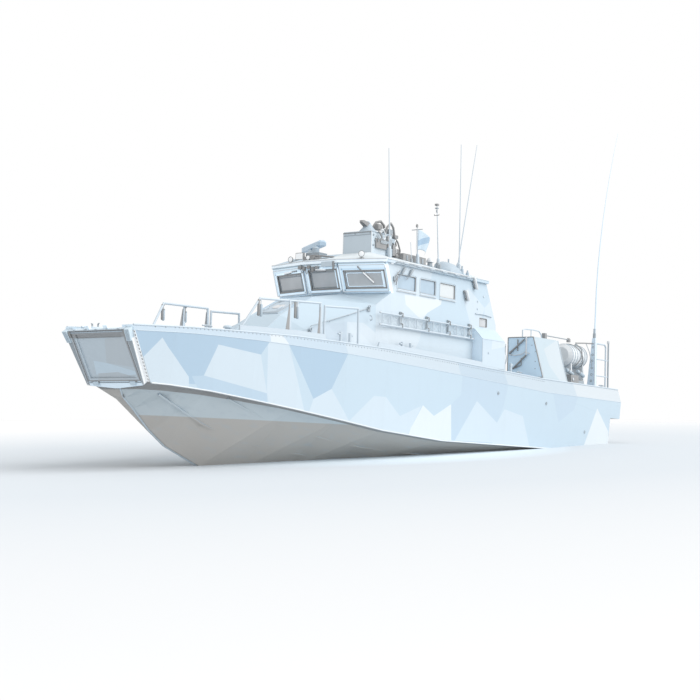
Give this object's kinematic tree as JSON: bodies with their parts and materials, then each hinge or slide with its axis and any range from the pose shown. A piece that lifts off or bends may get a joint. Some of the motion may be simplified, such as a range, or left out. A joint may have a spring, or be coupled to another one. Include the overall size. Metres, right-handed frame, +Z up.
{
  "type": "fast troop landing craft",
  "caption": "Fast military landing craft with a bow ramp, troop cabin and wheelhouse, aft well and steerable water jets, floating at its waterline.",
  "frame": {"origin": "amidships on the centreline, at the waterline of the boat at rest", "axes": "+X forward towards the bow ramp, +Y to port, +Z up"},
  "size_m": [19.9703, 4.3, 10.5],
  "materials": {
    "hull_paint": "matt camouflage paint",
    "deck_paint": "non-slip deck paint",
    "grey_paint": "matt",
    "rail_paint": "satin",
    "dark_paint": "matt",
    "rubber": "matt",
    "window_glass": "tinted",
    "white_plastic": "satin",
    "bare_alloy": "machined"
  },
  "bodies": {
    "boat": {"hull": "hull_paint", "bow_frame": "rubber", "trunk": "hull_paint", "wheelhouse_front": "hull_paint", "wheelhouse_port": "hull_paint", "wheelhouse_stbd": "hull_paint", "wheelhouse_aft": "hull_paint", "wheelhouse_roof": "hull_paint", "locker_port": "hull_paint", "locker_stbd": "hull_paint", "front_glass_port": "window_glass", "front_glass_centre": "window_glass", "front_glass_stbd": "window_glass", "side_glass_port": "window_glass", "side_glass_stbd": "window_glass", "small_glass_port": "window_glass", "small_glass_stbd": "window_glass", "roof_tub": "grey_paint", "sensor_post": "dark_paint", "radar_pedestal": "dark_paint", "roof_box": "dark_paint", "whip_fore": "rail_paint", "signal_mast": "rail_paint", "aerial_pole": "rail_paint", "whip_aft_outer": "rail_paint", "whip_aft_inner": "rail_paint", "bow_rail_port": "rail_paint", "bow_rail_stbd": "rail_paint", "side_rail_port": "rail_paint", "side_rail_stbd": "rail_paint", "toe_rail_port": "rail_paint", "toe_rail_stbd": "rail_paint", "aft_bitts_port": "rail_paint", "aft_bitts_stbd": "rail_paint", "stowed_ladder": "rail_paint", "aft_box_port": "grey_paint", "aft_box_stbd": "grey_paint", "engine_port": "dark_paint", "engine_stbd": "dark_paint", "raft_canister_port": "white_plastic", "raft_canister_stbd": "white_plastic", "stern_post": "grey_paint", "stern_rail_port": "rail_paint", "stern_rail_stbd": "rail_paint", "jet_housing_port": "dark_paint", "jet_housing_stbd": "dark_paint"},
    "ramp": {"bow_ramp": "grey_paint"},
    "fore_door": {"forward_door": "grey_paint"},
    "hatch": {"trunk_hatch": "deck_paint"},
    "rear_door": {"aft_door": "grey_paint"},
    "engine_lid": {"engine_hatch": "deck_paint"},
    "sensor": {"sensor_head": "grey_paint"},
    "radar": {"radar_scanner": "white_plastic"},
    "nozzle_port": {"jet_nozzle_port": "bare_alloy"},
    "nozzle_stbd": {"jet_nozzle_stbd": "bare_alloy"},
    "bucket_port": {"jet_bucket_port": "dark_paint"},
    "bucket_stbd": {"jet_bucket_stbd": "dark_paint"}
  },
  "joints": [
    {"name": "ramp_hinge", "type": "hinge", "parent": "boat", "child": "ramp", "pos_m": [9.3367, 0, 0.6376], "axis": [0, 1, 0], "range_deg": [0, 85]},
    {"name": "fore_door_hinge", "type": "hinge", "parent": "boat", "child": "fore_door", "pos_m": [5.15, 0.49, 1.42], "axis": [0, 0, 1], "range_deg": [0, 90]},
    {"name": "hatch_hinge", "type": "hinge", "parent": "boat", "child": "hatch", "pos_m": [3.72, 0, 2.939], "axis": [0, -1, 0], "range_deg": [0, 100]},
    {"name": "rear_door_hinge", "type": "hinge", "parent": "boat", "child": "rear_door", "pos_m": [-3.05, 0.46, 2.03], "axis": [0, 0, -1], "range_deg": [0, 110]},
    {"name": "engine_lid_hinge", "type": "hinge", "parent": "boat", "child": "engine_lid", "pos_m": [-5.53, 0, 1.6726], "axis": [0, 1, 0], "range_deg": [0, 70]},
    {"name": "sensor_pan", "type": "hinge", "parent": "boat", "child": "sensor", "pos_m": [1.49, 0.62, 4.8], "axis": [0, 0, 1], "range_deg": [-170, 170]},
    {"name": "radar_spin", "type": "hinge", "parent": "boat", "child": "radar", "pos_m": [1.4, -1.11, 4.5], "axis": [0, 0, 1], "continuous": true},
    {"name": "steer_port", "type": "hinge", "parent": "boat", "child": "nozzle_port", "pos_m": [-9.68, 0.64, -0.22], "axis": [0, 0, 1], "range_deg": [-25, 25]},
    {"name": "steer_stbd", "type": "hinge", "parent": "boat", "child": "nozzle_stbd", "pos_m": [-9.68, -0.64, -0.22], "axis": [0, 0, 1], "range_deg": [-25, 25]},
    {"name": "reverse_port", "type": "hinge", "parent": "nozzle_port", "child": "bucket_port", "pos_m": [-9.75, 0.64, -0.22], "axis": [0, -1, 0], "range_deg": [0, 90]},
    {"name": "reverse_stbd", "type": "hinge", "parent": "nozzle_stbd", "child": "bucket_stbd", "pos_m": [-9.75, -0.64, -0.22], "axis": [0, -1, 0], "range_deg": [0, 90]}
  ],
  "couplings": [
    {"joint": "steer_stbd", "follows": "steer_port", "ratio": 1}
  ]
}
